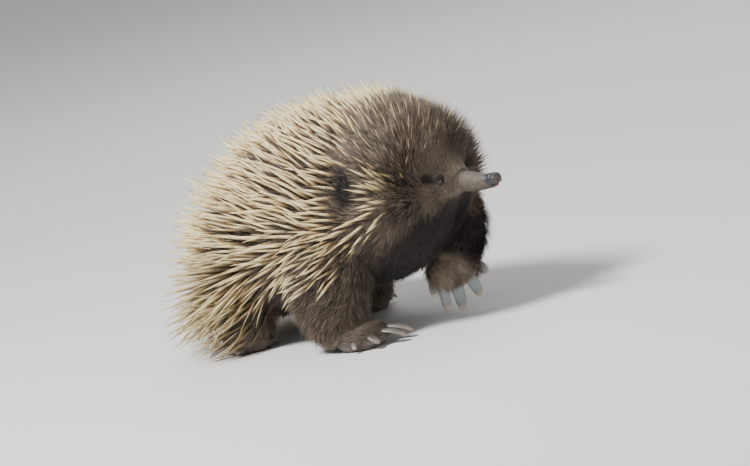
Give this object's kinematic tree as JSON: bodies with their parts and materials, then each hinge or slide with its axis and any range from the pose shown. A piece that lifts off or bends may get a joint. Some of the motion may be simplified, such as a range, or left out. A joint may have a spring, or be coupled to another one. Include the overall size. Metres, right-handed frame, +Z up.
{
  "type": "echidna",
  "caption": "Standing echidna with a long thin beak, a coat of spines over brown hair, a raised left forefoot and spade-shaped claws.",
  "frame": {"origin": "on the floor, below the centre of the box around the whole animal", "axes": "+X forwards, from tail to beak; +Y to the animal's left; +Z up"},
  "size_m": [0.4404, 0.2512, 0.2555],
  "materials": {
    "coat": "warm grey-brown hair with cream spines, dark at their bases and straw to tan along them",
    "beak": "bare dusty grey-tan skin, dark slate and moist at the tip",
    "horn": "blue-grey to beige horn with cream tips, satin",
    "eye": "near-black wet eye, glossy",
    "flesh": "pink moist tongue"
  },
  "bodies": {
    "root": {"torso": "coat", "head": "coat", "beak": "beak", "tongue": "flesh", "right_eye": "eye", "left_eye": "eye", "right_ear": "coat", "left_ear": "coat", "tail": "coat", "right_foreleg": "coat", "left_foreleg": "coat", "right_hindleg": "coat", "left_hindleg": "coat", "right_forefoot": "coat", "left_forefoot": "coat", "right_hindfoot": "coat", "left_hindfoot": "coat", "right_foreclaw_1": "horn", "right_foreclaw_2": "horn", "right_foreclaw_3": "horn", "right_foreclaw_4": "horn", "right_foreclaw_5": "horn", "left_foreclaw_1": "horn", "left_foreclaw_2": "horn", "left_foreclaw_3": "horn", "left_foreclaw_4": "horn", "left_foreclaw_5": "horn", "right_hindclaw_1": "horn", "right_hindclaw_2": "horn", "right_hindclaw_3": "horn", "right_hindclaw_4": "horn", "right_hindclaw_5": "horn", "left_hindclaw_1": "horn", "left_hindclaw_2": "horn", "left_hindclaw_3": "horn", "left_hindclaw_4": "horn", "left_hindclaw_5": "horn"}
  },
  "joints": []
}
